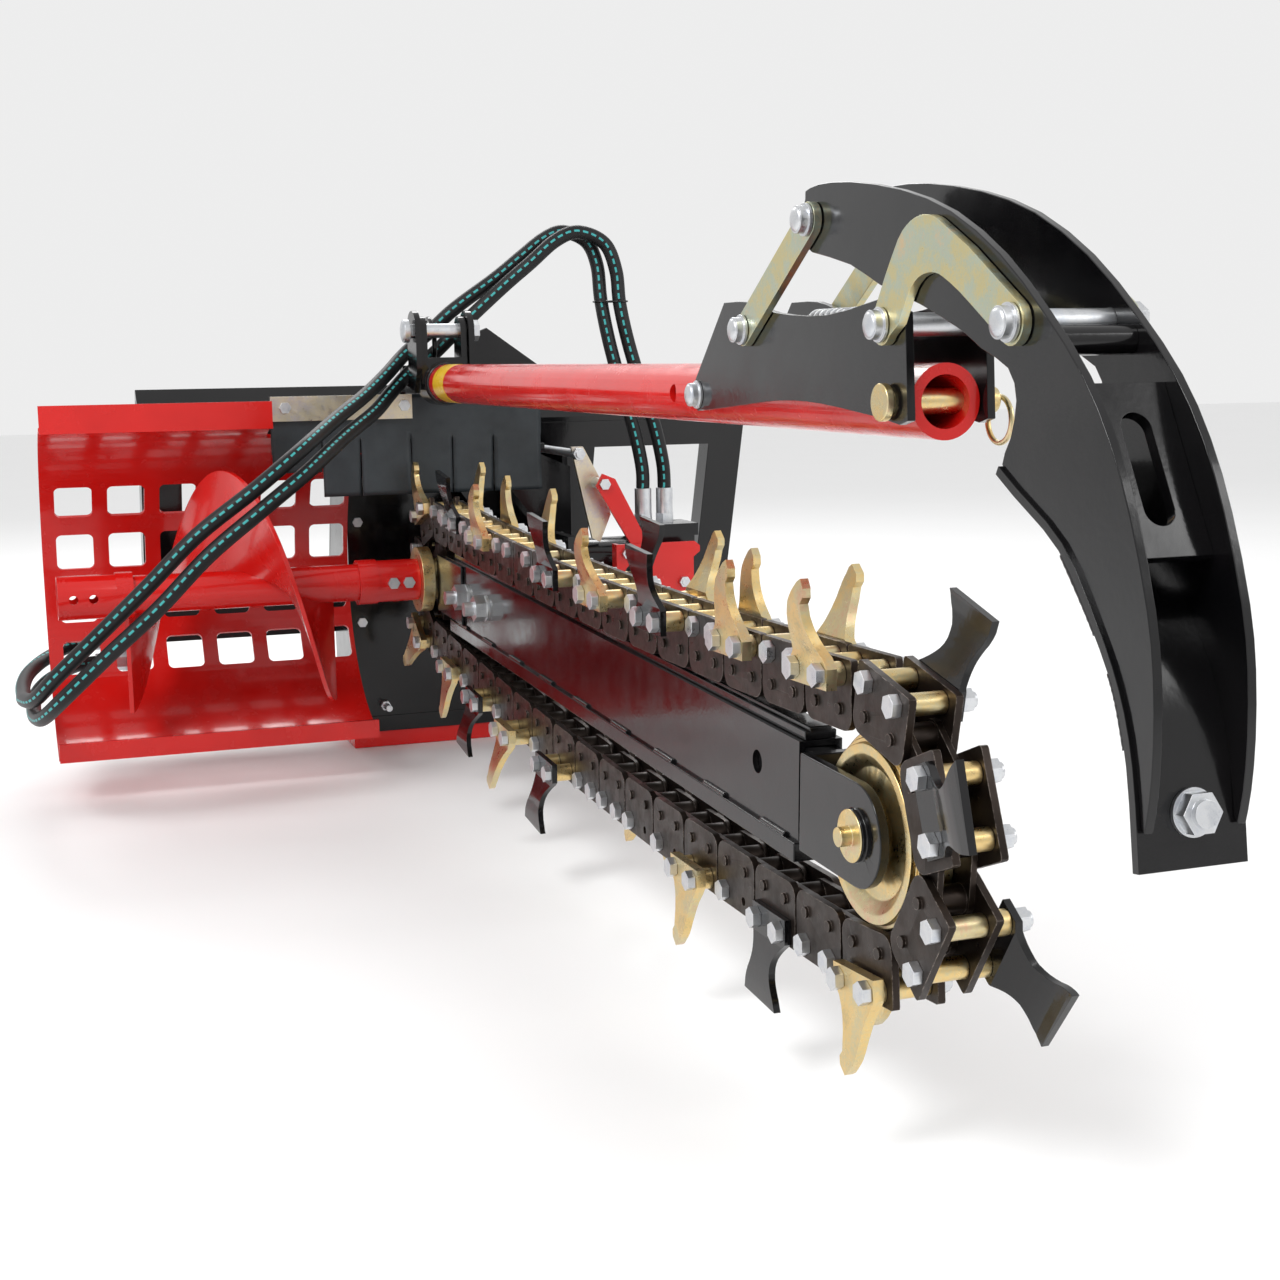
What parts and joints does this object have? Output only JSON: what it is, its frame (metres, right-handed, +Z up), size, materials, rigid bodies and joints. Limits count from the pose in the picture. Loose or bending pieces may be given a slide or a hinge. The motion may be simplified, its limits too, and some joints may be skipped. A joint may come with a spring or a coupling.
{
  "type": "chain trencher attachment",
  "caption": "Chain trencher attachment for a compact loader: toothed digging chain on a boom, side auger with slotted spoil shield, crumber arm and hydraulic drive.",
  "frame": {"origin": "on the loader frame's rear face, level with the auger's axis and in the digging chain's middle plane", "axes": "-Y along the boom to its nose, +X to the drive motor, +Z up"},
  "size_m": [1.1892, 2.1854, 0.7946],
  "materials": {
    "black_paint": "gloss",
    "red_paint": "gloss",
    "bare_steel": "satin",
    "gold_zinc": "satin",
    "white_zinc": "satin",
    "rubber": "matte",
    "hose": "matte"
  },
  "bodies": {
    "frame": {"mount_frame": "black_paint", "mount_hook": "black_paint", "mount_plate": "black_paint", "head_wall": "black_paint", "head_side_plates": "black_paint", "head_base": "black_paint", "head_skid": "red_paint", "head_deck": "black_paint", "head_bolts": "white_zinc", "shaft_housing": "black_paint", "shaft_bearings": "bare_steel", "drive_motor": "black_paint", "motor_port_block": "black_paint", "hose_fittings": "white_zinc", "hose_a": "hose", "hose_b": "hose", "hose_couplers": "white_zinc", "coupler_holder": "black_paint", "motor_guard": "red_paint", "guard_stay": "gold_zinc", "guard_strap": "red_paint", "guard_bolts": "white_zinc", "shield": "red_paint", "shield_bracket": "black_paint", "clamp_bar": "gold_zinc", "clamp_bolts": "white_zinc", "rubber_flap": "rubber", "pivot_ears": "black_paint", "pivot_pin": "white_zinc", "hose_guide": "black_paint", "boom_beam": "black_paint", "boom_rails": "black_paint", "boom_root": "black_paint", "boom_studs": "white_zinc", "chain_inner_links": "bare_steel", "chain_outer_links": "bare_steel", "chain_spacers": "gold_zinc", "chain_bolts": "white_zinc", "cup_teeth": "gold_zinc", "side_blades": "black_paint", "nose_frame": "black_paint", "nose_axle": "gold_zinc"},
    "auger": {"drive_shaft": "bare_steel", "drive_sprocket": "bare_steel", "hub_flange": "gold_zinc", "auger_tube": "red_paint", "auger_flight": "red_paint", "auger_couplers": "red_paint", "coupler_bolts": "white_zinc"},
    "roller": {"nose_roller": "gold_zinc"},
    "crumber": {"crumber_tube": "red_paint", "tube_socket": "black_paint", "crumber_bracket": "black_paint", "bracket_pins": "white_zinc"},
    "pin": {"hitch_pin": "gold_zinc"},
    "straps": {"crumber_straps": "gold_zinc"},
    "links": {"crumber_links": "gold_zinc"},
    "arm": {"crumber_arm": "black_paint", "arm_shoe": "black_paint", "arm_pins": "white_zinc"}
  },
  "joints": [
    {"name": "auger_spin", "type": "hinge", "parent": "frame", "child": "auger", "pos_m": [0, -0.395, 0], "axis": [1, 0, 0], "continuous": true},
    {"name": "roller_spin", "type": "hinge", "parent": "frame", "child": "roller", "pos_m": [0, -1.7804, -0.0387], "axis": [1, 0, 0], "continuous": true},
    {"name": "crumber_raise", "type": "hinge", "parent": "frame", "child": "crumber", "pos_m": [0, -0.405, 0.352], "axis": [-1, 0, 0], "range_deg": [0, 75]},
    {"name": "strap_swing", "type": "hinge", "parent": "crumber", "child": "straps", "pos_m": [0, -1.597, 0.332], "axis": [-1, 0, 0], "range_deg": [0, 5]},
    {"name": "arm_swing", "type": "hinge", "parent": "straps", "child": "arm", "pos_m": [0, -1.718, 0.409], "axis": [-1, 0, 0], "range_deg": [0, 0.13]},
    {"name": "link_swing", "type": "hinge", "parent": "crumber", "child": "links", "pos_m": [0, -1.837, 0.331], "axis": [-1, 0, 0], "range_deg": [0, 12.45]},
    {"name": "hitch_pin_pull", "type": "slide", "parent": "crumber", "child": "pin", "axis": [-1, 0, 0], "range_m": [0, 0.015]}
  ],
  "couplings": [
    {"joint": "roller_spin", "follows": "auger_spin", "ratio": 0.8495},
    {"joint": "arm_swing", "follows": "strap_swing", "ratio": 0.0247},
    {"joint": "link_swing", "follows": "strap_swing", "ratio": 2.4882}
  ]
}
